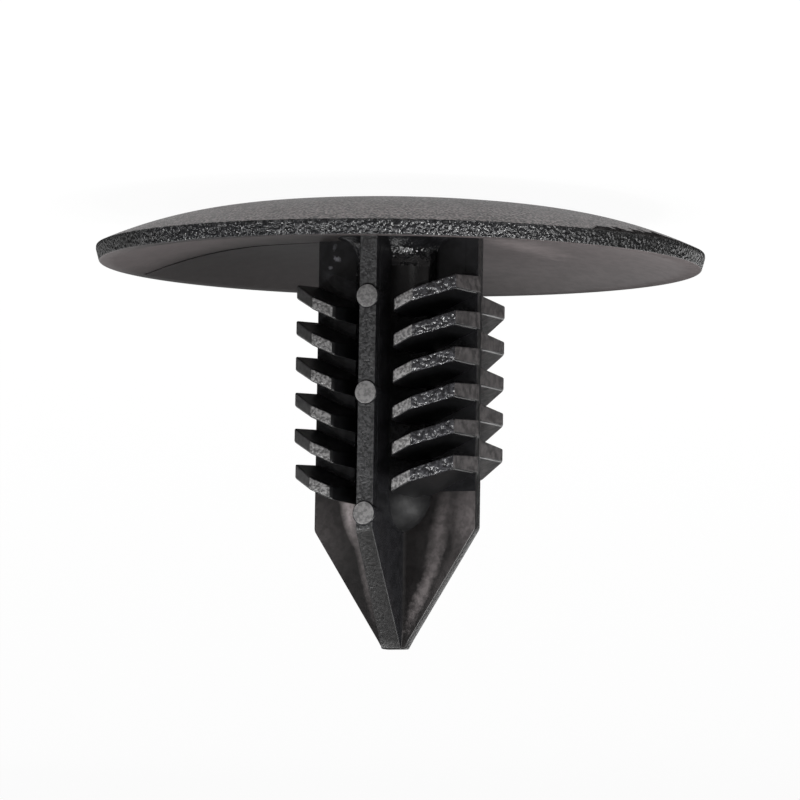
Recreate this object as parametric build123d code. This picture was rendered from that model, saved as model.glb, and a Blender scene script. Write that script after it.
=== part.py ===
# Push-in trim clip, moulded in one piece: a shallow domed head on a cross-shaped stem
# with four columns of slanted barbs.
# Millimetres, +Z from the head to the tip. The origin is the crown of the dome, which the
# clip stands on. The spine web runs along X, the cross web along Y, and the ejector marks
# are on the cross web's -Y edge.
import os
from math import sqrt

from build123d import *

# Head
head_radius = 15.05
dome_rise = 2.35
crown_radius = 68.0
crown_reach = 9.0
band_height = 0.73
land_outer = 14.86
land_inner = 14.15
hollow_depth = 1.36
hollow_rings = [(7.0, 1.29), (10.8, 0.92)]  # reach from the axis, depth below the land

# Stem
stem_length = 18.92
spine_half = 4.33
spine_thick = 0.60
spine_tip_half = 0.49
spine_taper_start = 13.05
cross_half = 3.70
cross_end_thick = 0.92
cross_root_thick = 1.06
cross_tip_half = 0.34
cross_taper_start = 13.25
shoulder_round = 0.45
web_corner_round = 0.25
core_top_radius = 2.16
core_end_radius = 2.08
core_end_depth = 11.22
head_cove = 1.10
root_sink = 0.50  # how far the stem's members run into the head

# Barbs: heights are below the rim's land, at the spine's end and in the middle of the barb
barb_pitch = 1.772
barb_slope = 0.43
barb_root_thick = 0.78
barb_thinning = 0.04  # loss of thickness for each mm away from the spine
barb_side = 4.36
barb_side_end = 4.31
barb_corner_front = (2.71, 4.33)
barb_corner_inner = (1.53, 4.17)
side_corner_cut = 0.16
inner_corner_cut = 0.18
barb_blank = 5.0  # longer than the barb, which its plan outline trims
front_side_run = 2.80
back_side_run = 3.05
first_barb = 1.11
left_shift = 0.30
back_shift = 1.02
barb_columns = [  # side of X, side of Y, number of barbs, first barb's depth, run of its side
    (-1, -1, 6, first_barb, front_side_run),
    (1, -1, 6, first_barb + left_shift, front_side_run),
    (-1, 1, 5, first_barb + back_shift, back_side_run),
    (1, 1, 5, first_barb + left_shift + back_shift, back_side_run),
]

# Marks that the mould leaves
post_radius = 0.61
post_stand = 0.10
post_length = 0.90
post_depths = [1.79, 6.53, 12.46]
spine_pad_half = 3.70
spine_pad_stand = 0.035
spine_pad_end = 0.95
flank_pad_stand = 0.035
flank_pad_reach = 3.35
flank_pad_end = 12.15
parting_width = 0.11
parting_depth = 0.05
parting_overlap = 0.20

# Derived places
land_z = dome_rise + band_height
tip_z = land_z + stem_length
hollow_top_z = land_z - hollow_depth
core_end_z = land_z + core_end_depth
closeness = 0.01  # how near a vertex lies to the place it is looked for


def crown_drop(reach):
    return crown_radius - sqrt(crown_radius**2 - reach**2)


def hollow_points():
    # Underside of the head from its middle to the land, as reach and height
    rings = [(reach, land_z - depth) for reach, depth in hollow_rings]
    return [(0, hollow_top_z), *rings, (land_inner, land_z)]


def head():
    # Half section in reach and height, turned about Z: flat crown, rounder shoulder, rim
    # band, land and hollow underside
    crown_end = (crown_reach, crown_drop(crown_reach))
    crown = ThreePointArc((0, 0), (crown_reach / 2, crown_drop(crown_reach / 2)), crown_end)
    shoulder = TangentArc(crown_end, (head_radius, dome_rise), tangent=crown % 1)
    underside = Polyline(
        (head_radius, dome_rise), (land_outer, land_z), *reversed(hollow_points()), (0, 0)
    )
    return revolve(Plane.XZ * make_face([crown, shoulder, *underside.edges()]), Axis.Z)


def core():
    # Round middle of the stem: cove under the head, slight draft and a ball end
    start_z = hollow_top_z - root_sink
    cove_middle = head_cove * (1 - 1 / sqrt(2))
    side = Polyline(
        (0, start_z),
        (core_top_radius + head_cove, start_z),
        (core_top_radius + head_cove, hollow_top_z),
        (core_top_radius + cove_middle, hollow_top_z + cove_middle),
        (core_top_radius, hollow_top_z + head_cove),
        (core_end_radius, core_end_z),
    )
    ball = ThreePointArc(
        (core_end_radius, core_end_z),
        (core_end_radius / sqrt(2), core_end_z + core_end_radius / sqrt(2)),
        (0, core_end_z + core_end_radius),
    )
    axis = Line((0, core_end_z + core_end_radius), (0, start_z))
    return revolve(Plane.XZ * make_face([*side.edges(), ball, axis]), Axis.Z)


def pointed_outline(half, tip_half, taper_start):
    # Side view of one web, from inside the head to the blunt tip
    low = hollow_top_z - root_sink
    bend = land_z + taper_start
    outline = make_face(
        Polyline(
            (-half, low), (half, low), (half, bend), (tip_half, tip_z),
            (-tip_half, tip_z), (-half, bend), close=True,
        )
    )
    bends = outline.vertices().filter_by_position(Axis.Y, bend - closeness, bend + closeness)
    return fillet(bends, shoulder_round)


def webs():
    # Cross-shaped plan with coved corners, cut to the two webs' pointed side views
    spine = Rectangle(2 * spine_half, spine_thick)
    root, end = cross_root_thick / 2, cross_end_thick / 2
    cross = make_face(
        Polyline(
            (root, 0), (end, cross_half), (-end, cross_half),
            (-root, 0), (-end, -cross_half), (end, -cross_half), close=True,
        )
    )
    plan = spine + cross
    inner = [
        v for v in plan.vertices()
        if abs(abs(v.Y) - spine_thick / 2) < closeness and abs(v.X) < cross_root_thick
    ]
    bar = extrude(fillet(inner, web_corner_round), 2 * tip_z)
    spine_view = pointed_outline(spine_half, spine_tip_half, spine_taper_start)
    cross_view = pointed_outline(cross_half, cross_tip_half, cross_taper_start)
    return (
        bar
        & extrude(Plane.XZ * spine_view, 2 * cross_half, both=True)
        & extrude(Plane.YZ * cross_view, 2 * spine_half, both=True)
    )


def barb(side_run):
    # One barb in the +X +Y quarter with its middle at height 0 at the spine's end. Its
    # section thins away from the spine and is drawn out along the slope, rising towards the
    # tip as it nears the axis; the plan outline trims it to the chamfered corner.
    root = barb_root_thick / 2
    end = root - barb_thinning * barb_blank / 2
    section = make_face(
        Polyline((0, -root), (barb_blank, -end), (barb_blank, end), (0, root), close=True)
    )
    start = Pos(0, 0, barb_slope * spine_half) * (Plane.YZ * section)
    slab = extrude(start, barb_blank * sqrt(1 + barb_slope**2), dir=(1, 0, -barb_slope))
    barb_corner_side = (barb_side_end, side_run)
    outline = make_face(
        Polyline((barb_corner_inner[0], 0), (barb_side, 0), barb_corner_side,
                 barb_corner_front, barb_corner_inner, close=True)
    )
    for corner, cut in ((barb_corner_side, side_corner_cut), (barb_corner_inner, inner_corner_cut)):
        outline = chamfer(outline.vertices().sort_by_distance((*corner, 0))[0], cut)
    return slab & extrude(outline, barb_blank, both=True)


def barbs():
    # Each column repeats its barb down the stem, mirrored into its own quarter
    solids = []
    for side_x, side_y, count, depth, side_run in barb_columns:
        first = barb(side_run)
        turned = first if side_x > 0 else mirror(first, Plane.YZ)
        turned = turned if side_y > 0 else mirror(turned, Plane.XZ)
        for i in range(count):
            solids.append(Pos(0, 0, land_z + depth + i * barb_pitch) * turned)
    return solids


def ejector_posts():
    # Round pads on the cross web's -Y edge that the ejector pins pushed on
    out = cross_half + post_stand
    return [
        Pos(0, -out, land_z + depth) * Rot(-90, 0, 0)
        * Cylinder(post_radius, post_length, align=(Align.CENTER, Align.CENTER, Align.MIN))
        for depth in post_depths
    ]


def mould_pads():
    # Faint flats where the mould's inserts end: beside the head on the spine web's faces,
    # and along the cross web's flanks
    spine_pad_height = spine_pad_end + hollow_depth
    spine_pad = Pos(0, 0, hollow_top_z + spine_pad_height / 2) * Box(
        2 * spine_pad_half, spine_thick + 2 * spine_pad_stand, spine_pad_height
    )
    at_root = cross_root_thick / 2 + flank_pad_stand
    thinning = (cross_root_thick - cross_end_thick) / 2 / cross_half
    at_reach = at_root - thinning * flank_pad_reach
    flank_plan = make_face(
        Polyline(
            (at_root, 0), (at_reach, flank_pad_reach), (-at_reach, flank_pad_reach),
            (-at_root, 0), (-at_reach, -flank_pad_reach), (at_reach, -flank_pad_reach),
            close=True,
        )
    )
    flank_pad = Pos(0, 0, hollow_top_z) * extrude(flank_plan, flank_pad_end + hollow_depth)
    return [spine_pad, flank_pad]


def parting_groove():
    # Thin line across the underside of the head, where the two side slides meet
    above = 2 * land_z
    hollow = make_face(Polyline(*hollow_points(), (land_inner, above), (0, above), close=True))
    deeper = Pos(0, 0, -parting_depth) * revolve(Plane.XZ * hollow, Axis.Z)
    slot = Box(2 * land_inner, parting_width, 2 * above)
    return (deeper & slot) - Cylinder(spine_half - parting_overlap, 2 * above)


clip = head() - parting_groove()
clip = clip + core() + webs() + mould_pads() + barbs() + ejector_posts()
clip = clip.solid() if len(clip.solids()) == 1 else clip
clip.label = "trim_clip"

os.makedirs("parts", exist_ok=True)
export_step(clip, "parts/trim_clip.step")
print("solids", len(clip.solids()), "volume", round(clip.volume, 2), "size", clip.bounding_box().size)
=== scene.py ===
# Finish for the push-in trim clip: a smooth turned head, webs, barbs and marks built as one
# moulding, its black nylon finishes, and a plain white studio.
import math

import bpy
from mathutils import Matrix, Vector, noise


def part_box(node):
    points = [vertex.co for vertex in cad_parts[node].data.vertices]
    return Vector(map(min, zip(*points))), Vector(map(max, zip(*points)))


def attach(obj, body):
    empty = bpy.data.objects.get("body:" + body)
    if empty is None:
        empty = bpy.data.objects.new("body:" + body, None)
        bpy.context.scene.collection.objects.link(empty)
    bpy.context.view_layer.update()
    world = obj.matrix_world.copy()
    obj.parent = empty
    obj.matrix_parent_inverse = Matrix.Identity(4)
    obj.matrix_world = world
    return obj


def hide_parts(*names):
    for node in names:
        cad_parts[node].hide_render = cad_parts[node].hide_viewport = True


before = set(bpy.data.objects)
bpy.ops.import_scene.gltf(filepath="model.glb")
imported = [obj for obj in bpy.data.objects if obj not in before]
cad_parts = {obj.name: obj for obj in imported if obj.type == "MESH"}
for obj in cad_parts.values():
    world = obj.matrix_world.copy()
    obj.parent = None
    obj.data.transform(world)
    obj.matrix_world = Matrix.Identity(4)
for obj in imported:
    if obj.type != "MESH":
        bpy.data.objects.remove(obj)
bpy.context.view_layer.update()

mm = 0.001
scene = bpy.context.scene
clipNode = "trim_clip"
low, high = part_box(clipNode)
print("frame loaded, clip is", [round(v / mm, 2) for v in high - low], "mm")

# Camera

cameraPlace = {
    "distance": 374.71,      # mm from the middle of the clip
    "turn": 25.08,           # degrees round the stem, from -Y towards -X
    "rise": 4.726,           # degrees above the horizontal
    "middle": 10.746,        # height in mm that the distance is measured from
    "aim": (-0.092, 0.029, 9.686),   # point in mm at the picture's middle
    "roll": 180.94,          # head at the top of the picture
    "lens": 341.9,
    "nearest": 0.01,         # m, where its view begins
}


def outwards(turn, rise):
    # direction away from the stem, for angles as in cameraPlace
    turn, rise = math.radians(turn), math.radians(rise)
    level = math.cos(rise)
    return Vector((-level * math.sin(turn), -level * math.cos(turn), math.sin(rise)))


def facingAlong(look):
    # turns a camera or lamp so that it faces along a direction
    return look.to_track_quat("-Z", "Y").to_matrix().to_4x4()


def makeCamera(place):
    away = outwards(place["turn"], place["rise"])
    spot = (Vector((0, 0, place["middle"])) + away * place["distance"]) * mm
    look = Vector(place["aim"]) * mm - spot
    cameraData = bpy.data.cameras.new("clipCamera")
    cameraData.lens = place["lens"]
    cameraData.clip_start = place["nearest"]
    camera = bpy.data.objects.new("clipCamera", cameraData)
    scene.collection.objects.link(camera)
    rolled = facingAlong(look) @ Matrix.Rotation(math.radians(place["roll"]), 4, "Z")
    camera.matrix_world = Matrix.Translation(spot) @ rolled
    scene.camera = camera


makeCamera(cameraPlace)
print("camera placed")

# Mesh tools, all sizes in mm

roundSteps = 4      # steps round each small edge


def meshObject(name, points, faces):
    mesh = bpy.data.meshes.new(name)
    mesh.from_pydata([(x * mm, y * mm, z * mm) for x, y, z in points], [], faces)
    piece = bpy.data.objects.new(name, mesh)
    scene.collection.objects.link(piece)
    return piece


def turned(name, profile, turns):
    # closed solid from a profile of (radius, height) that starts and ends on the axis
    points = [(0, 0, profile[0][1])]
    for radius, height in profile[1:-1]:
        for k in range(turns):
            angle = math.tau * k / turns
            points.append((radius * math.cos(angle), radius * math.sin(angle), height))
    points.append((0, 0, profile[-1][1]))
    faces, last = [], len(points) - 1
    for k in range(turns):
        after = (k + 1) % turns
        faces.append((0, 1 + after, 1 + k))
        for ring in range(len(profile) - 3):
            base = 1 + ring * turns
            faces.append((base + k, base + after, base + turns + after, base + turns + k))
        faces.append((last, last - turns + k, last - turns + after))
    return meshObject(name, points, faces)


def stacked(name, rings):
    # closed solid from rings of equally many points, with flat ends
    points = [point for ring in rings for point in ring]
    count, faces = len(rings[0]), []
    for level in range(len(rings) - 1):
        base = level * count
        for k in range(count):
            after = (k + 1) % count
            faces.append((base + k, base + after, base + count + after, base + count + k))
    faces.append(tuple(reversed(range(count))))
    faces.append(tuple(range(len(points) - count, len(points))))
    return meshObject(name, points, faces)


def quarterTurn(steps):
    return [math.pi / 2 * k / steps for k in range(steps + 1)]


def tangentArc(start, heading, end, steps):
    # points after start along the arc that leaves it at an angle and meets end
    across, up = end[0] - start[0], end[1] - start[1]
    bend = math.atan2(up, across) - heading
    radius = math.hypot(across, up) / (2 * math.sin(bend))
    points = []
    for k in range(1, steps + 1):
        part = bend * k / steps
        reach, angle = 2 * radius * math.sin(part), heading + part
        points.append((start[0] + reach * math.cos(angle), start[1] + reach * math.sin(angle)))
    return points


def roundCorner(before, corner, after, radius, steps):
    # the corner of an outline as an arc that touches both of its edges
    toBefore = (Vector(before) - Vector(corner)).normalized()
    toAfter = (Vector(after) - Vector(corner)).normalized()
    half = toBefore.angle(toAfter) / 2
    middle = Vector(corner) + (toBefore + toAfter).normalized() * (radius / math.sin(half))
    first = Vector(corner) + toBefore * (radius / math.tan(half)) - middle
    last = Vector(corner) + toAfter * (radius / math.tan(half)) - middle
    sweep = math.atan2(first.x * last.y - first.y * last.x, first.dot(last))
    spots = []
    for k in range(steps + 1):
        angle = sweep * k / steps
        spots.append((middle.x + first.x * math.cos(angle) - first.y * math.sin(angle),
                      middle.y + first.x * math.sin(angle) + first.y * math.cos(angle)))
    return spots


def roundedOutline(corners, radii):
    outline = []
    for k, corner in enumerate(corners):
        after = corners[(k + 1) % len(corners)]
        outline += roundCorner(corners[k - 1], corner, after, radii[k], roundSteps)
    return outline


def insetCorners(corners, distance):
    # every edge of a counterclockwise outline moved inwards
    moved = []
    for k, corner in enumerate(corners):
        into = (Vector(corner) - Vector(corners[k - 1])).normalized()
        out = (Vector(corners[(k + 1) % len(corners)]) - Vector(corner)).normalized()
        inward, turn = Vector((-into.y - out.y, into.x + out.x)), 1 + into.dot(out)
        moved.append(tuple(Vector(corner) + inward * distance / turn))
    return moved


def combine(whole, tools, operation):
    # one boolean of the whole with every tool, applied to its mesh
    group = bpy.data.collections.new("tools")
    scene.collection.children.link(group)
    for tool in tools:
        group.objects.link(tool)
    joiner = whole.modifiers.new("combine", "BOOLEAN")
    joiner.operation = operation
    joiner.solver = "EXACT"
    joiner.operand_type = "COLLECTION"
    joiner.collection = group
    joiner.material_mode = "TRANSFER"
    bpy.context.view_layer.update()
    evaluated = whole.evaluated_get(bpy.context.evaluated_depsgraph_get())
    result = bpy.data.meshes.new_from_object(evaluated)
    whole.modifiers.clear()
    whole.data = result
    for tool in tools:
        bpy.data.objects.remove(tool)
    bpy.data.collections.remove(group)


# Finishes of the black nylon

# tone, warmth (bluish below 0), roughness, gloss, grain per mm, its detail and depth in mm, how
# much the tone varies with it, depth in mm of the long waves
nylonLooks = {
    "domeGrain": (0.048, 0.20, 0.45, 0.5, 7.5, 0.5, 0.130, 0.95, 0.0),
    # the worn edge of the dome, its tone painted darker as shade
    "wornShaded": (0.020, 0.05, 0.60, 0.0, 5.0, 3.0, 0.150, 0.7, 0.0),
    "rimSpark": (0.012, -0.10, 0.18, 0.5, 6.0, 0.5, 0.160, 0.3, 0.0),
    "hollowSatinAndPaintedSheen": (0.014, 0.16, 0.44, 0.25, 2.2, 1.0, 0.0, 0.1, 0.02),
    "webSatinAndPaintedLight": (0.010, -0.10, 0.22, 0.25, 2.0, 1.0, 0.002, 0.2, 0.10),
    "webEnd": (0.026, -0.04, 0.45, 0.5, 8.5, 1.0, 0.040, 0.6, 0.0),
    "spineEnd": (0.008, 0.04, 0.40, 0.4, 6.0, 1.0, 0.020, 0.4, 0.0),
    "tipSatinAndPaintedSheen": (0.009, 0.12, 0.30, 0.4, 3.0, 2.0, 0.003, 0.2, 0.02),
    "barbSlope": (0.004, -0.10, 0.30, 0.4, 4.0, 1.0, 0.002, 0.2, 0.1),
    "barbFront": (0.140, 0.02, 0.40, 0.5, 7.0, 1.0, 0.050, 0.5, 0.0),
    "barbChamfer": (0.026, -0.10, 0.16, 0.5, 5.0, 0.5, 0.190, 0.4, 0.0),
    "barbSide": (0.034, 0.10, 0.42, 0.5, 3.0, 3.0, 0.020, 0.5, 0.0),
    "barbBack": (0.014, 0.10, 0.50, 0.2, 3.0, 3.0, 0.020, 0.7, 0.0),
    "barbGlint": (0.110, 0.02, 0.30, 0.5, 7.5, 1.5, 0.060, 0.5, 0.0),
    "barbFlank": (0.026, 0.02, 0.40, 0.5, 4.0, 2.0, 0.010, 0.4, 0.0),
    "ejectorFace": (0.120, 0.02, 0.50, 0.5, 7.0, 1.0, 0.010, 0.3, 0.0),
    "coveGloss": (0.012, -0.10, 0.13, 0.5, 1.6, 3.0, 0.140, 0.3, 0.3),
    "coreGloss": (0.004, -0.10, 0.12, 0.3, 3.0, 1.0, 0.004, 0.2, 0.1),
    "ballSatin": (0.007, -0.05, 0.42, 0.15, 3.0, 1.0, 0.010, 0.2, 0.1),
}

# where the look changes within a finish, mostly painted sheen, highlights and shade: middle and reach
# in mm, tilt in degrees about Y, tone, roughness, softness and raggedness of its edge
nylonMarks = {
    "rimSpark": [       # painted shade: darker towards the two ends of the view, and rougher there
        ((11.5, -9.7, 2.7), (6.0, 6.0, 3.0), 0, 0.005, 0.45, 0.6, 0.3),
        ((-14.0, -2.0, 2.7), (8.5, 8.5, 3.0), 0, 0.003, 0.40, 0.6, 0.3),
    ],
    "hollowSatinAndPaintedSheen": [    # painted sheen on the two paler sides; a thin darker line along the +X parting line; a cloudy patch
        ((11.5, -6.5, 2.5), (8.5, 6.4, 3.0), 0, 0.058, 0.44, 0.5, 0.1),
        ((-11.0, 0.0, 2.5), (14.0, 17.0, 3.0), 0, 0.088, 0.44, 1.0, 0.1),
        ((9.3, 0.0, 2.2), (4.6, 0.40, 2.0), 0, 0.004, 0.38, 0.8, 0.7),
        ((-4.9, 4.5, 2.0), (1.4, 3.2, 2.0), 0, 0.120, 0.42, 1.0, 0.8),
    ],
    "tipSatinAndPaintedSheen": [       # painted sheen on the web's flanks and beside the cross web, and painted reflection streaks
        ((4.1, -0.3, 15.8), (1.6, 1.0, 2.8), -20, 0.030, 0.30, 1.0, 0.1),
        ((2.30, -0.3, 15.2), (0.50, 1.0, 1.6), -14, 0.280, 0.30, 0.9, 0.1),
        ((1.60, -0.3, 18.0), (0.24, 1.0, 2.6), -14, 0.070, 0.30, 0.9, 0.3),
        ((-4.1, -0.3, 15.6), (0.9, 1.0, 2.2), 0, 0.065, 0.30, 1.0, 0.1),
        ((-2.50, -0.3, 16.2), (0.46, 1.0, 2.6), 12, 0.060, 0.30, 1.0, 0.3),
        ((-1.65, -0.3, 19.2), (0.34, 1.0, 1.9), 25, 0.080, 0.30, 0.9, 0.7),
        ((-2.9, -0.3, 18.4), (0.40, 1.0, 2.6), 28, 0.025, 0.30, 1.0, 0.2),
    ],
    "webSatinAndPaintedLight": [       # painted highlights beside the head and a painted glint beside the first barb
        ((3.30, -0.3, 2.65), (0.20, 0.6, 0.14), 30, 0.160, 0.40, 0.8, 1.0),
        ((3.65, -0.3, 3.05), (0.13, 0.6, 0.09), 0, 0.140, 0.40, 0.8, 0.6),
        ((3.45, -0.3, 2.05), (0.12, 0.6, 0.16), 0, 0.060, 0.40, 0.8, 0.8),
        ((1.30, -0.3, 5.05), (0.10, 0.6, 0.10), 0, 0.500, 0.40, 0.2, 0.6),
    ],
}

# painted light: paler bands where light falls on the spine web, one before each barb on the +X side:
# the first one's middle, then reach, tilt, tone, roughness, softness and raggedness as above
paintedLightBands = {
    "count": 6, "pitch": 1.772, "first": (2.75, -0.3, 4.05),
    "look": ((1.35, 0.6, 0.38), 27, 0.060, 0.40, 1.0, 0.2),
}
for k in range(paintedLightBands["count"]):
    x, y, z = paintedLightBands["first"]
    nylonMarks["webSatinAndPaintedLight"].append(((x, y, z + paintedLightBands["pitch"] * k), *paintedLightBands["look"]))

# how the finishes use noise, with scales per mm
nylonNoise = {
    "roughness": 0.6,
    "usual": (0.3, 0.7),            # what a noise mostly keeps within
    "flecks": (0.40, 0.60),         # part of the grain over which the tone changes
    "patchScale": 0.5, "patchDetail": 4.0, "patchShare": 0.07,     # slow change of the roughness
    "waveScale": 0.35, "waveDetail": 1.0,
    "tearScale": 1.2, "finestTear": 8.0, "tearDetail": 3.0,        # ragged edges of the marks
    "softOutside": 0.25,            # share of a mark's soft edge that lies beyond its reach
}


def nylonFinish(name, look, marks, settings):
    finish = bpy.data.materials.new(name)
    finish.use_nodes = True
    nodes, links = finish.node_tree.nodes, finish.node_tree.links
    shader = nodes["Principled BSDF"]
    tone, warmth, roughness, gloss, grainScale, detail, depth, speckle, waves = look
    shader.inputs["Specular IOR Level"].default_value = gloss
    place = nodes.new("ShaderNodeTexCoord")
    inMillimetres = nodes.new("ShaderNodeMapping")
    inMillimetres.inputs["Scale"].default_value = (1 / mm, 1 / mm, 1 / mm)
    links.new(place.outputs["Object"], inMillimetres.inputs["Vector"])

    def clouds(scale, octaves):
        texture = nodes.new("ShaderNodeTexNoise")
        texture.inputs["Scale"].default_value = scale
        texture.inputs["Detail"].default_value = octaves
        texture.inputs["Roughness"].default_value = settings["roughness"]
        links.new(inMillimetres.outputs["Vector"], texture.inputs["Vector"])
        return texture.outputs["Fac"]

    def mapped(value, before, after):
        span = nodes.new("ShaderNodeMapRange")
        span.inputs["From Min"].default_value = before[0]
        span.inputs["From Max"].default_value = before[1]
        span.inputs["To Min"].default_value = after[0]
        span.inputs["To Max"].default_value = after[1]
        links.new(value, span.inputs["Value"])
        return span.outputs["Result"]

    def toned(value, middle):
        mix = nodes.new("ShaderNodeMix")
        mix.data_type = "RGBA"
        dark, light = middle * (1 - speckle), middle * (1 + speckle)
        red, blue = 1 + max(warmth, 0), 1 - min(warmth, 0)
        mix.inputs["A"].default_value = (dark * red, dark, dark * blue, 1)
        mix.inputs["B"].default_value = (light * red, light, light * blue, 1)
        links.new(value, mix.inputs["Factor"])
        return mix.outputs["Result"]

    def blend(share, first, second, kind):
        mix = nodes.new("ShaderNodeMix")
        mix.data_type = kind
        ends = [socket for socket in mix.inputs if socket.enabled]
        links.new(share, ends[0])
        links.new(first, ends[1])
        if kind == "RGBA":
            links.new(second, ends[2])
        else:
            ends[2].default_value = second
        return [socket for socket in mix.outputs if socket.enabled][0]

    def markShare(middle, reach, tilt, soft, ragged):
        # 1 within the mark, 0 outside it
        within = nodes.new("ShaderNodeMapping")
        within.vector_type = "TEXTURE"
        within.inputs["Location"].default_value = middle
        within.inputs["Rotation"].default_value = (0, math.radians(tilt), 0)
        within.inputs["Scale"].default_value = reach
        links.new(inMillimetres.outputs["Vector"], within.inputs["Vector"])
        far = nodes.new("ShaderNodeVectorMath")
        far.operation = "LENGTH"
        links.new(within.outputs["Vector"], far.inputs[0])
        torn = nodes.new("ShaderNodeMath")
        torn.operation = "ADD"
        links.new(far.outputs["Value"], torn.inputs[0])
        tearScale = min(settings["tearScale"] / min(reach), settings["finestTear"])
        tearing = clouds(tearScale, settings["tearDetail"])
        links.new(mapped(tearing, settings["usual"], (-ragged / 2, ragged / 2)), torn.inputs[1])
        outside = settings["softOutside"]
        return mapped(torn.outputs[0], (1 + soft * outside, 1 - soft * (1 - outside)), (0, 1))

    grain = clouds(grainScale, detail)
    flecks = mapped(grain, settings["flecks"], (0, 1))
    colour = toned(flecks, tone)
    patches = clouds(settings["patchScale"], settings["patchDetail"])
    dull = [roughness * (1 + side * settings["patchShare"]) for side in (-1, 1)]
    shine = mapped(patches, settings["usual"], dull)
    for middle, reach, tilt, markTone, markRoughness, soft, ragged in marks:
        share = markShare(middle, reach, tilt, soft, ragged)
        colour = blend(share, colour, toned(flecks, markTone), "RGBA")
        shine = blend(share, shine, markRoughness, "FLOAT")
    links.new(colour, shader.inputs["Base Color"])
    links.new(shine, shader.inputs["Roughness"])
    bump = nodes.new("ShaderNodeBump")
    bump.inputs["Distance"].default_value = depth * mm
    links.new(grain, bump.inputs["Height"])
    if waves:
        warp = nodes.new("ShaderNodeBump")
        warp.inputs["Distance"].default_value = waves * mm
        links.new(clouds(settings["waveScale"], settings["waveDetail"]), warp.inputs["Height"])
        links.new(warp.outputs["Normal"], bump.inputs["Normal"])
    links.new(bump.outputs["Normal"], shader.inputs["Normal"])
    return finish


finishes = {}
for name, look in nylonLooks.items():
    finishes[name] = nylonFinish(name, look, nylonMarks.get(name, []), nylonNoise)
print("finishes made:", len(finishes))

facing = 0.75       # least share of a face's normal along the direction that it counts as facing


def paint(piece, names, choose=None):
    # gives a piece the named finishes, and each face the one that choose names
    for name in names:
        piece.data.materials.append(finishes[name])
    if choose:
        for face in piece.data.polygons:
            face.material_index = names.index(choose(face))


# Head

headShape = {
    "domeRise": 2.35, "crownRadius": 68.0, "crownReach": 9.0, "bandHeight": 0.73,
    "creaseInset": 0.02, "bulgeDrop": 0.12, "landInset": 0.17, "landInner": 14.15,
    "hollowDepth": 1.36, "floorReach": 7.0, "floorDepth": 1.29,
    "creaseRound": 0.04, "bulgeRound": 0.35, "landRound": 0.09, "landSoftness": 2.0,
    "turns": 360, "crownSteps": 12, "shoulderSteps": 30, "landSteps": 6, "hollowSteps": 14,
    "softened": 3,                      # points of the hollow that the soft corner replaces
    "wornShadeFrom": 60, "wornShadeTo": 98,     # degrees round the head between which its edge is worn, painted darker as shade
    "wornShadeReach": 1.3, "wornShadeShare": 0.7, "leastWornShade": 0.15,      # width in mm, shares of it
    "wornShadeNoise": ((0.25, 0.8), (1.1, 0.3)),    # per degree, share of the width
}
headRadius = (high.x - low.x) / 2 / mm
landHeight = headShape["domeRise"] + headShape["bandHeight"]
hollowTop = landHeight - headShape["hollowDepth"]


def hollowPoints(shape):
    # from the middle of the underside to the land
    steps = shape["hollowSteps"]
    floorEnd = (shape["floorReach"], landHeight - shape["floorDepth"])
    floor = tangentArc((0, hollowTop), 0, floorEnd, steps)
    slope = 2 * math.atan2(floorEnd[1] - hollowTop, floorEnd[0])
    side = tangentArc(floorEnd, slope, (shape["landInner"], landHeight), 2 * steps)
    return [(0, hollowTop)] + floor + side


def wornShadeWidth(shape, turn):
    # how far the worn edge, painted darker as shade, reaches onto the dome
    along = (turn - shape["wornShadeFrom"]) / (shape["wornShadeTo"] - shape["wornShadeFrom"])
    if not 0 < along < 1:
        return 0
    torn = shape["wornShadeShare"]
    for scale, share in shape["wornShadeNoise"]:
        torn += share * noise.noise((turn * scale, 0, 0))
    return shape["wornShadeReach"] * math.sin(math.pi * along) * max(torn, shape["leastWornShade"])


def makeHead(shape):
    crownRadius, crownReach = shape["crownRadius"], shape["crownReach"]
    crownEnd = (crownReach, crownRadius - math.sqrt(crownRadius ** 2 - crownReach ** 2))
    crown = tangentArc((0, 0), 0, crownEnd, shape["crownSteps"])
    slope = math.asin(crownReach / crownRadius)
    crease = (headRadius - shape["creaseInset"], shape["domeRise"] - shape["creaseInset"])
    shoulder = tangentArc(crownEnd, slope, crease, shape["shoulderSteps"])
    bulge = (headRadius, shape["domeRise"] + shape["bulgeDrop"])
    bandEnd = (headRadius - shape["landInset"], landHeight)
    underside = hollowPoints(shape)[::-1]
    hollowStart = shape["softened"]
    corners = [shoulder[-2], crease, bulge, bandEnd, underside[0], underside[hollowStart]]
    rounds = [(shape["creaseRound"], roundSteps), (shape["bulgeRound"], roundSteps),
              (shape["landRound"], shape["landSteps"]), (shape["landSoftness"], shape["landSteps"])]
    profile = [(0, 0)] + crown + shoulder[:-1]
    for k, (radius, steps) in enumerate(rounds):
        profile += roundCorner(*corners[k:k + 3], radius, steps)
    profile += underside[hollowStart:]

    def finishOf(face):
        if face.normal.z > facing:
            return "hollowSatinAndPaintedSheen"
        if face.center.z > crease[1] * mm:
            return "rimSpark"
        reach = headRadius - math.hypot(face.center.x, face.center.y) / mm
        turn = math.degrees(math.atan2(-face.center.x, -face.center.y))
        return "wornShaded" if reach < wornShadeWidth(shape, turn) else "domeGrain"

    head = turned("clipHead", profile, shape["turns"])
    paint(head, ["domeGrain", "rimSpark", "hollowSatinAndPaintedSheen", "wornShaded"], finishOf)
    return head


head = makeHead(headShape)
print("head turned:", len(head.data.polygons), "faces")

# Stem

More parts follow.
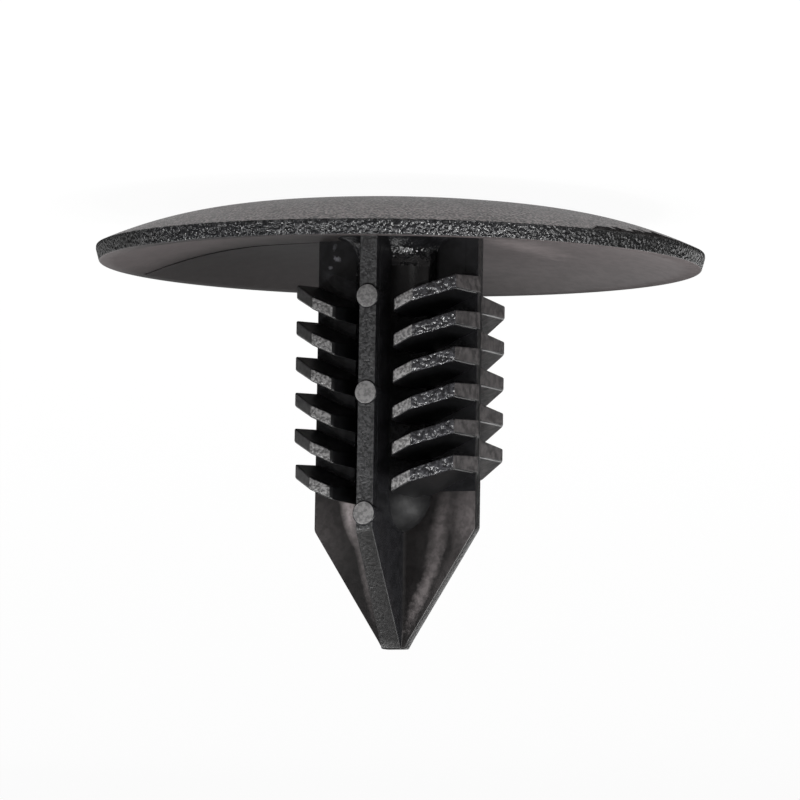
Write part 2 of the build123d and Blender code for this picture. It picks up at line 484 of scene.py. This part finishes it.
stemShape = {
    "length": 18.92,
    "spineHalf": 4.33, "spineThick": 0.60, "spineTipHalf": 0.49, "spineTaper": 13.05,
    "crossHalf": 3.70, "crossEndThick": 0.92, "crossRootThick": 1.06, "crossTipHalf": 0.34,
    "crossTaper": 13.25,
    "shoulderRound": 0.45, "innerRound": 0.25, "edgeRound": 0.06, "tipRound": 0.08,
    "roundShare": 0.45,                 # the most of a web's side that a round takes up
    "leastGap": 0.006,                  # keeps the webs' corners apart near the tip
    "tipStart": 11.2,
    "spineExtra": 0.05, "tipExtra": 0.035, "endExtra": 0.09,      # how much further the -X half reaches
    "growBefore": 1.0, "growLength": 0.6,       # where the tip's extra comes in, before tipStart
    "webSunk": 0.5, "coreSunk": 0.4,            # depth inside the head
    "coreTopRadius": 2.16, "coreEndRadius": 2.08, "coreEndDepth": 11.22, "headCove": 1.10,
    "coveGlossEnd": 0.15, "coreTurns": 128, "coreSteps": 12,
    "slanted": 0.2,     # least share of a web end's normal towards the tip where it tapers
}
webLevels = {       # where the webs' outline is taken
    "straight": (4, 8),                 # mm above the land
    "shoulderBefore": 0.3, "shoulderPitch": 0.04, "shoulderCount": 24,
    "tipCount": 24, "tipEase": 1.8,     # above 1, closer together near the shoulder
}
tipHeight = landHeight + stemShape["length"]


def webReach(height, half, tipHalf, taper, cornerRound):
    # half width of a web at a height: straight, a rounded shoulder, then the taper
    bend = landHeight + taper
    lean = math.atan2(half - tipHalf, tipHeight - bend)
    touch = cornerRound * math.tan(lean / 2)
    if height < bend - touch:
        return half
    if height > bend + touch * math.cos(lean):
        return half - (height - bend) * math.tan(lean)
    return half - cornerRound + math.sqrt(cornerRound ** 2 - (height - bend + touch) ** 2)


def webPlan(height, inset):
    shape = stemShape
    spine, cross = [
        webReach(height, shape[web + "Half"], shape[web + "TipHalf"], shape[web + "Taper"],
                 shape["shoulderRound"]) - inset
        for web in ("spine", "cross")
    ]
    side = shape["spineThick"] / 2 - inset
    thinning = (shape["crossRootThick"] - shape["crossEndThick"]) / 2 / shape["crossHalf"]
    gap = shape["leastGap"]
    root = min(shape["crossRootThick"] / 2 - thinning * side - inset, spine - 2 * gap)
    end = min(shape["crossRootThick"] / 2 - thinning * cross - inset, spine - gap)
    grown = (height - landHeight - shape["tipStart"] + shape["growBefore"]) / shape["growLength"]
    wide = spine + shape["spineExtra"] + shape["tipExtra"] * min(1, max(0, grown))
    wide += shape["endExtra"] * max(0, 1 - spine / shape["spineHalf"])
    corners = [(spine, -side), (spine, side), (root, side), (end, cross),
               (-end, cross), (-root, side), (-wide, side), (-wide, -side),
               (-root, -side), (-end, -cross), (end, -cross), (root, -side)]
    most = min((cross - side) * shape["roundShare"], (spine - root) * shape["roundShare"])
    edge, inner = min(shape["edgeRound"], most), min(shape["innerRound"], most)
    radii = [edge, edge, inner] * 4
    return [(x, y, height) for x, y in roundedOutline(corners, radii)]


def webHeights(shape, levels):
    tipStart = landHeight + shape["tipStart"]
    grown = tipStart - shape["growBefore"] + shape["growLength"]
    shoulder = landHeight + shape["spineTaper"] - levels["shoulderBefore"]
    heights = [hollowTop - shape["webSunk"]]
    heights += [landHeight + depth for depth in levels["straight"]]
    heights += [tipStart - shape["growBefore"], grown, tipStart]
    heights += [shoulder + levels["shoulderPitch"] * k for k in range(levels["shoulderCount"])]
    last, count = heights[-1], levels["tipCount"]
    left = tipHeight - shape["tipRound"] - last
    return heights + [last + left * (k / count) ** levels["tipEase"] for k in range(1, count + 1)]


def makeWebs(shape, levels):
    heights = webHeights(shape, levels)
    rings = [webPlan(height, 0) for height in heights]
    for angle in quarterTurn(roundSteps)[1:]:
        inset = shape["tipRound"] * (1 - math.cos(angle))
        height = tipHeight - shape["tipRound"] * (1 - math.sin(angle))
        rings.append([(x, y, height) for x, y, z in webPlan(heights[-1], inset)])

    def finishOf(face):
        onTip = face.center.z > (landHeight + shape["tipStart"]) * mm
        alongX, alongY = abs(face.normal.x) > facing, abs(face.normal.y) > facing
        if alongX and abs(face.center.y) < shape["spineThick"] / 2 * mm:
            return "spineEnd"
        if alongY and abs(face.center.x) < shape["crossEndThick"] / 2 * mm:
            return "spineEnd" if face.normal.z > shape["slanted"] else "webEnd"
        if onTip and alongY:
            return "tipSatinAndPaintedSheen"
        return "spineEnd" if onTip and not alongX else "webSatinAndPaintedLight"

    webs = stacked("clipWebs", rings)
    paint(webs, ["webSatinAndPaintedLight", "webEnd", "spineEnd", "tipSatinAndPaintedSheen"], finishOf)
    return webs


def makeCore(shape):
    cove, top, end = shape["headCove"], shape["coreTopRadius"], shape["coreEndRadius"]
    startHeight, coveHeight = hollowTop - shape["coreSunk"], hollowTop + cove
    glossHeight = landHeight + shape["coveGlossEnd"]
    endHeight = landHeight + shape["coreEndDepth"]
    profile = [(0, startHeight), (top + cove, startHeight)]
    for angle in quarterTurn(shape["coreSteps"]):
        profile.append((top + cove - cove * math.sin(angle), coveHeight - cove * math.cos(angle)))
    profile.append((top, glossHeight))
    for angle in quarterTurn(shape["coreSteps"]):
        profile.append((end * math.cos(angle), endHeight + end * math.sin(angle)))
    profile[-1] = (0, endHeight + end)

    def finishOf(face):
        if face.center.z < glossHeight * mm:
            return "coveGloss"
        return "ballSatin" if face.center.z > endHeight * mm else "coreGloss"

    core = turned("clipCore", profile, shape["coreTurns"])
    paint(core, ["coreGloss", "coveGloss", "ballSatin"], finishOf)
    return core


webs = makeWebs(stemShape, webLevels)
core = makeCore(stemShape)
print("webs and core made")

# Barbs

barbShape = {
    "pitch": 1.772, "slope": 0.43, "tipSlope": 0.45,
    "frontHalves": ((0.52, 0.050), (0.39, 0.020)),  # half thickness at the spine and its loss
    "backHalves": ((0.60, 0.080), (0.33, 0.0)),     # per mm, on the head's side and the tip's
    "inner": (1.53, 4.17), "front": (2.71, 4.33), "side": (4.36, 4.31),
    "sideExtra": 0.05,                  # how much further the barbs on the -X side reach
    "rounds": [0.10, 0.10, 0.30, 0.12, 0.28], "leastRound": 0.03, "edgeRound": 0.10,
    "wornCorner": 0.18,                 # mm off the side of the last barb in the +X -Y column
    "columns": [    # side of X, side of Y, number of barbs, depth of the first, run of its side
        (-1, -1, 6, 1.11, 2.80), (1, -1, 6, 1.41, 2.80), (-1, 1, 5, 2.13, 3.05), (1, 1, 5, 2.43, 3.05),
    ],
    "squareOn": 0.93, "cornerOn": 0.3,  # least share of the normal on a side, and on a corner
}


def makeBarb(name, shape, sideX, sideY, base, sideRun):
    rings = []
    further = shape["sideExtra"] if sideX < 0 else 0
    sideRoot, sideEnd = shape["side"]
    plan = [(shape["inner"][0], 0), (sideRoot + further, 0), (sideEnd + further, sideRun),
            shape["front"], shape["inner"]]
    halves = shape["frontHalves"] if sideY < 0 else shape["backHalves"]
    for end, (root, thinning), slope in zip((-1, 1), halves, (shape["slope"], shape["tipSlope"])):
        angles = quarterTurn(roundSteps)
        for angle in (angles if end < 0 else reversed(angles)):
            inset = shape["edgeRound"] * (1 - math.sin(angle))
            drop = shape["edgeRound"] * (1 - math.cos(angle))
            radii = [max(radius - inset, shape["leastRound"]) for radius in shape["rounds"]]
            ring = []
            for x, y in roundedOutline(insetCorners(plan, inset), radii):
                half = root - thinning * y - drop
                lift = slope * (stemShape["spineHalf"] - x) + end * half
                ring.append((sideX * x, sideY * y, base + lift))
            rings.append(ring if sideX * sideY > 0 else ring[::-1])
    corner, front = ("barbChamfer", "barbFront") if sideX < 0 else ("barbFlank", "barbGlint")

    def finishOf(face):
        outX, outY = face.normal.x * sideX, face.normal.y * sideY
        if abs(face.normal.z) < facing:
            if outX > shape["squareOn"]:
                return "barbSide"
            if outY > shape["squareOn"]:
                return front
            return corner if min(outX, outY) > shape["cornerOn"] else "barbSlope"
        if face.normal.z > 0 and sideY > 0:
            return "barbBack"
        return corner if face.normal.z > 0 and sideX > 0 else "barbSlope"

    barb = stacked(name, rings)
    paint(barb, ["barbSlope", "barbSide", corner, front, "barbBack"], finishOf)
    return barb


barbs = []
for sideX, sideY, count, first, sideRun in barbShape["columns"]:
    for k in range(count):
        base = landHeight + first + k * barbShape["pitch"]
        worn = barbShape["wornCorner"] if k == count - 1 and sideX > 0 > sideY else 0
        barbs.append(makeBarb("barb", barbShape, sideX, sideY, base, sideRun - worn))
print("barbs made:", len(barbs))

# Ejector posts, pads and parting line

postShape = {
    "radius": 0.61, "stand": 0.10, "sunk": 0.80, "edgeRound": 0.09, "depths": [1.79, 6.53, 12.46],
    "turns": 64, "squareOn": 0.9,
}
padShape = {
    "spineHalf": 3.70, "spineEnd": 0.95, "crossReach": 3.35, "flankEnd": 12.15, "stand": 0.035,
    "sunk": 0.3,
}
partingShape = {"width": 0.22, "depth": 0.08, "overlap": 0.20, "above": 0.3}


def makePost(shape, height):
    outer, length = stemShape["crossHalf"] + shape["stand"], shape["stand"] + shape["sunk"]
    profile = [(0, 0), (shape["radius"], 0)]
    for angle in quarterTurn(roundSteps):
        profile.append((shape["radius"] - shape["edgeRound"] * (1 - math.cos(angle)),
                        length - shape["edgeRound"] * (1 - math.sin(angle))))
    profile.append((0, length))

    def finishOf(face):
        return "ejectorFace" if face.normal.z > shape["squareOn"] else "webSatinAndPaintedLight"

    post = turned("post", profile, shape["turns"])
    paint(post, ["ejectorFace", "webSatinAndPaintedLight"], finishOf)
    outwardY = Matrix.Rotation(math.radians(90), 4, "X")
    post.data.transform(Matrix.Translation((0, (length - outer) * mm, height * mm)) @ outwardY)
    return post


def makePads(shape):
    # faint steps where the mould's inserts end, beside the head and down the cross web
    stand, start = shape["stand"], hollowTop - shape["sunk"]
    half, side = shape["spineHalf"], stemShape["spineThick"] / 2 + stand
    spine = [(half, -side), (half, side), (-half, side), (-half, -side)]
    root = stemShape["crossRootThick"] / 2 + stand
    thinning = (stemShape["crossRootThick"] - stemShape["crossEndThick"]) / 2 / stemShape["crossHalf"]
    end, reach = root - thinning * shape["crossReach"], shape["crossReach"]
    cross = [(root, 0), (end, reach), (-end, reach), (-root, 0), (-end, -reach), (end, -reach)]
    pads = []
    for plan, stop in ((spine, shape["spineEnd"]), (cross, shape["flankEnd"])):
        rings = [[(x, y, height) for x, y in plan] for height in (start, landHeight + stop)]
        pad = stacked("pad", rings)
        paint(pad, ["webSatinAndPaintedLight"])
        pads.append(pad)
    return pads


def makeParting(shape, side):
    # cutter for the thin line across the hollow, where the mould's two side slides meet
    half, rings = shape["width"] / 2, []
    for reach, height in hollowPoints(headShape):
        if reach > stemShape["spineHalf"] - shape["overlap"]:
            bottom, top = height - shape["depth"], height + shape["above"]
            ring = [(side * reach, -half, bottom), (side * reach, half, bottom),
                    (side * reach, half, top), (side * reach, -half, top)]
            rings.append(ring if side > 0 else ring[::-1])
    parting = stacked("parting", rings)
    paint(parting, ["hollowSatinAndPaintedSheen"])
    return parting


posts = [makePost(postShape, landHeight + depth) for depth in postShape["depths"]]
print("posts made:", len(posts))

# The whole clip

sharpAngle = 38     # degrees between faces from which an edge stays crisp
combine(head, [makeParting(partingShape, side) for side in (-1, 1)], "DIFFERENCE")
combine(head, [core, webs] + makePads(padShape) + barbs + posts, "UNION")
clip = head
clip.name = "trimClip"
print("clip joined:", len(clip.data.polygons), "faces")

for face in clip.data.polygons:
    face.use_smooth = True
clip.data.set_sharp_from_angle(angle=math.radians(sharpAngle))
weighted = clip.modifiers.new("weighted", "WEIGHTED_NORMAL")
weighted.keep_sharp = True

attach(clip, "root")
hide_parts(clipNode)

# Floor, lamps and world

studio = {
    "floorSize": 8.0, "floorTone": 0.92, "floorRoughness": 0.9,     # size in m
    "floorGlow": 0.96,      # how white the camera and reflections see it
    "worldGlow": 0.06,
    "lampAim": 10,          # height in mm that the lamps face
    "lamps": [      # name, glow, width and height in mm, distance in mm, turn, rise
        ("rightKey", 24, 80, 80, 420, 74, 46),
        ("coveKey", 48, 70, 60, 420, 92, 44),
        ("leftKey", 26, 60, 60, 420, -52, 31),
        ("rimLeft", 70, 40, 40, 420, -41, 27),
        ("rimRight", 60, 70, 40, 420, 56, 27),
        ("frontBox", 6, 250, 160, 450, 36, 34),
        ("frontLeftBox", 4, 160, 140, 420, -25, 30),
        ("rightBox", 2.5, 200, 200, 420, 110, 22),
        ("topBox", 3, 300, 300, 500, 30, 80),
        ("backRightBox", 2.7, 180, 620, 700, 176, 20),
        ("backLeftBox", 0.85, 500, 620, 700, 230, 20),
    ],
    "feltTone": 0.004, "feltRoughness": 0.9, "feltSteps": 48,
    "flag": {"from": -75, "to": 95, "distance": 60, "height": 9.5},
    "mat": {"inner": 17, "outer": 400, "height": 0.3},
}


def plainMaterial(name, tone, roughness):
    material = bpy.data.materials.new(name)
    material.use_nodes = True
    shader = material.node_tree.nodes["Principled BSDF"]
    shader.inputs["Base Color"].default_value = (tone, tone, tone, 1)
    shader.inputs["Roughness"].default_value = roughness
    return material


def makeFloor(settings):
    half = settings["floorSize"] / 2 / mm
    corners = [(-half, -half, 0), (half, -half, 0), (half, half, 0), (-half, half, 0)]
    floor = meshObject("floor", corners, [(0, 1, 2, 3)])
    paper = plainMaterial("whitePaper", settings["floorTone"], settings["floorRoughness"])
    nodes, links = paper.node_tree.nodes, paper.node_tree.links
    rays = nodes.new("ShaderNodeLightPath")
    seen = nodes.new("ShaderNodeMath")
    seen.operation = "MAXIMUM"
    links.new(rays.outputs["Is Camera Ray"], seen.inputs[0])
    links.new(rays.outputs["Is Glossy Ray"], seen.inputs[1])
    either = nodes.new("ShaderNodeMath")
    either.operation = "MAXIMUM"
    links.new(seen.outputs[0], either.inputs[0])
    links.new(rays.outputs["Is Transmission Ray"], either.inputs[1])
    share = nodes.new("ShaderNodeMath")
    share.operation = "MULTIPLY"
    share.inputs[1].default_value = settings["floorGlow"]
    links.new(either.outputs[0], share.inputs[0])
    glow = nodes.new("ShaderNodeEmission")
    glow.inputs["Color"].default_value = (1, 1, 1, 1)
    mixed = nodes.new("ShaderNodeMixShader")
    links.new(share.outputs[0], mixed.inputs["Fac"])
    links.new(nodes["Principled BSDF"].outputs["BSDF"], mixed.inputs[1])
    links.new(glow.outputs["Emission"], mixed.inputs[2])
    links.new(mixed.outputs["Shader"], nodes["Material Output"].inputs["Surface"])
    floor.data.materials.append(paper)


def makeBlackCards(settings):
    # felt that only glossy faces reflect, unseen by the camera: a card bent round the front, and
    # a mat round the clip
    felt = plainMaterial("blackFelt", settings["feltTone"], settings["feltRoughness"])
    flag, mat, steps = settings["flag"], settings["mat"], settings["feltSteps"]
    edges = [
        ("blackFlag", flag["from"], flag["to"], (flag["distance"], 0),
         (flag["distance"], flag["height"])),
        ("blackMat", 0, 360, (mat["inner"], mat["height"]), (mat["outer"], mat["height"])),
    ]
    for name, first, last, near, far in edges:
        points, faces = [], []
        for k in range(steps + 1):
            turn = math.radians(first + (last - first) * k / steps)
            for reach, height in (near, far):
                points.append((-math.sin(turn) * reach, -math.cos(turn) * reach, height))
            if k < steps:
                faces.append((2 * k, 2 * k + 2, 2 * k + 3, 2 * k + 1))
        card = meshObject(name, points, faces)
        card.data.materials.append(felt)
        card.visible_camera = False
        card.visible_shadow = False
        card.visible_diffuse = False


def makeLamps(settings):
    middle = Vector((0, 0, settings["lampAim"] * mm))
    for name, glow, width, height, distance, turn, rise in settings["lamps"]:
        lampData = bpy.data.lights.new(name, "AREA")
        lampData.shape = "RECTANGLE"
        lampData.size, lampData.size_y = width * mm, height * mm
        lampData.energy = glow * math.pi * width * height * mm ** 2
        lamp = bpy.data.objects.new(name, lampData)
        scene.collection.objects.link(lamp)
        lamp.visible_camera = False
        spot = middle + outwards(turn, rise) * distance * mm
        lamp.matrix_world = Matrix.Translation(spot) @ facingAlong(middle - spot)


def makeWorld(settings):
    world = bpy.data.worlds.new("studio")
    scene.world = world
    world.use_nodes = True
    nodes, links = world.node_tree.nodes, world.node_tree.links
    background = nodes["Background"]
    background.inputs["Color"].default_value = (1, 1, 1, 1)
    rays = nodes.new("ShaderNodeLightPath")
    strength = nodes.new("ShaderNodeMapRange")
    strength.inputs["To Min"].default_value = settings["worldGlow"]
    strength.inputs["To Max"].default_value = 1.0
    links.new(rays.outputs["Is Camera Ray"], strength.inputs["Value"])
    links.new(strength.outputs["Result"], background.inputs["Strength"])


makeFloor(studio)
makeBlackCards(studio)
makeLamps(studio)
makeWorld(studio)
scene.view_settings.view_transform = "Standard"
print("studio made")
